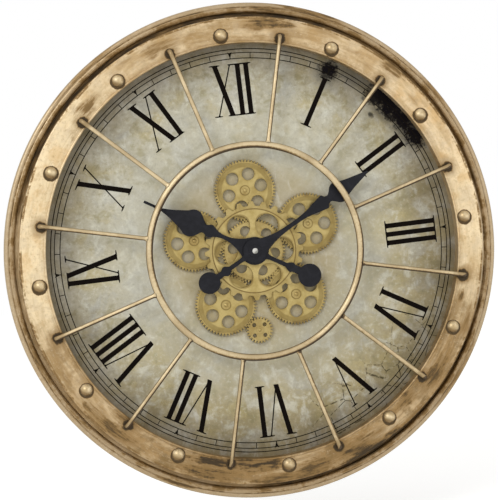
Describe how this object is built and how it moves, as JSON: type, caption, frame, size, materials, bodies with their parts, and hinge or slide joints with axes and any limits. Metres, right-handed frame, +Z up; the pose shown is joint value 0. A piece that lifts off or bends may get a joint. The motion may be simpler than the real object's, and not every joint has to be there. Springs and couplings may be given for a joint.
{
  "type": "wall clock",
  "caption": "Round metal wall clock: riveted rim, rod cage over a Roman-numeral dial, spade hands and an open train of meshing gears.",
  "frame": {"origin": "centre of the hanging hole in the hanger plate, on the wall plane; the dial axis is 262 mm below it", "axes": "+Z up, the dial faces -Y, the wall is the plane y = 0 and +Y points into it, +X is to the right of a viewer in front"},
  "size_m": [0.6, 0.072, 0.6],
  "materials": {
    "black_plastic": "moulded, fine grain",
    "cage_gold": "satin pale gold paint",
    "cap_pearl": "polished off-white",
    "cell_sleeve": "plain shrink sleeve with a bare steel cap",
    "dial_print": "matt printed weathered plaster face on fibreboard",
    "drum_bronze": "antique bronze paint",
    "gear_gold": "satin yellow gold",
    "hand_black": "matt blue-black",
    "rim_gold": "brushed antique gold paint, darker bronze in the hollows",
    "rubber_black": "soft washer",
    "tooth_olive": "satin dark gold",
    "works_brass": "machined",
    "zinc_steel": "zinc plated"
  },
  "bodies": {
    "clock": {"case_drum": "drum_bronze", "back_ring": "drum_bronze", "outer_rim": "rim_gold", "groove_floor": "rim_gold", "flange_edge": "rim_gold", "rivet_flange": "rim_gold", "flange_wall": "rim_gold", "flange_rivets": "rim_gold", "centre_ring": "cage_gold", "spokes": "cage_gold", "spoke_clips": "zinc_steel", "dial_board": "dial_print", "dial_clips": "zinc_steel", "clip_screws": "zinc_steel", "hanger_plate": "zinc_steel", "hanger_rivets": "zinc_steel", "movement_case": "black_plastic", "movement_gasket": "rubber_black", "movement_cell": "cell_sleeve", "movement_contacts": "zinc_steel", "threaded_bush": "works_brass", "sun_sleeve": "works_brass", "bush_washer": "zinc_steel", "bush_nut": "works_brass", "gear_posts": "works_brass", "post_caps": "gear_gold", "post_nuts": "zinc_steel", "gear_box": "black_plastic", "gear_box_cells": "cell_sleeve", "gear_box_contacts": "zinc_steel", "gear_box_screws": "zinc_steel"},
    "minute_work": {"minute_hand": "hand_black", "hand_cap": "cap_pearl", "minute_arbor": "works_brass"},
    "hour_work": {"hour_hand": "hand_black", "hour_tube": "works_brass"},
    "knob": {"set_knob": "black_plastic"},
    "sun_wheel": {"sun_rim": "tooth_olive", "sun_disc": "gear_gold", "cover_wheel": "gear_gold", "cover_screws": "works_brass"},
    "satellite_1": {"satellite_rim_1": "tooth_olive", "satellite_disc_1": "gear_gold"},
    "satellite_2": {"satellite_rim_2": "tooth_olive", "satellite_disc_2": "gear_gold"},
    "satellite_3": {"satellite_rim_3": "tooth_olive", "satellite_disc_3": "gear_gold"},
    "satellite_4": {"satellite_rim_4": "tooth_olive", "satellite_disc_4": "gear_gold"},
    "satellite_5": {"satellite_rim_5": "tooth_olive", "satellite_disc_5": "gear_gold"},
    "pinion": {"drive_pinion": "gear_gold", "pinion_cap": "gear_gold", "drive_shaft": "zinc_steel"}
  },
  "joints": [
    {"name": "minute_turn", "type": "hinge", "parent": "clock", "child": "minute_work", "pos_m": [0, 0, -0.262], "axis": [0, 1, 0], "continuous": true},
    {"name": "hour_turn", "type": "hinge", "parent": "clock", "child": "hour_work", "pos_m": [0, 0, -0.262], "axis": [0, 1, 0], "continuous": true},
    {"name": "knob_turn", "type": "hinge", "parent": "clock", "child": "knob", "pos_m": [0, 0, -0.25], "axis": [0, 1, 0], "continuous": true},
    {"name": "sun_turn", "type": "hinge", "parent": "clock", "child": "sun_wheel", "pos_m": [0, 0, -0.262], "axis": [0, 1, 0], "continuous": true},
    {"name": "satellite_turn_1", "type": "hinge", "parent": "clock", "child": "satellite_1", "pos_m": [-0.00206, 0, -0.18828], "axis": [0, 1, 0], "continuous": true},
    {"name": "satellite_turn_2", "type": "hinge", "parent": "clock", "child": "satellite_2", "pos_m": [0.06948, 0, -0.23726], "axis": [0, 1, 0], "continuous": true},
    {"name": "satellite_turn_3", "type": "hinge", "parent": "clock", "child": "satellite_3", "pos_m": [0.045, 0, -0.32043], "axis": [0, 1, 0], "continuous": true},
    {"name": "satellite_turn_4", "type": "hinge", "parent": "clock", "child": "satellite_4", "pos_m": [-0.04167, 0, -0.32285], "axis": [0, 1, 0], "continuous": true},
    {"name": "satellite_turn_5", "type": "hinge", "parent": "clock", "child": "satellite_5", "pos_m": [-0.07075, 0, -0.24118], "axis": [0, 1, 0], "continuous": true},
    {"name": "pinion_turn", "type": "hinge", "parent": "clock", "child": "pinion", "pos_m": [-0.00443, 0, -0.35807], "axis": [0, 1, 0], "continuous": true}
  ],
  "couplings": [
    {"joint": "hour_turn", "follows": "minute_turn", "ratio": 0.083333},
    {"joint": "knob_turn", "follows": "minute_turn", "ratio": -0.33333},
    {"joint": "satellite_turn_1", "follows": "sun_turn", "ratio": -1.0345},
    {"joint": "satellite_turn_2", "follows": "sun_turn", "ratio": -1.0345},
    {"joint": "satellite_turn_3", "follows": "sun_turn", "ratio": -1.0345},
    {"joint": "satellite_turn_4", "follows": "sun_turn", "ratio": -1.0345},
    {"joint": "satellite_turn_5", "follows": "sun_turn", "ratio": -1.0345},
    {"joint": "pinion_turn", "follows": "sun_turn", "ratio": 2.5}
  ]
}
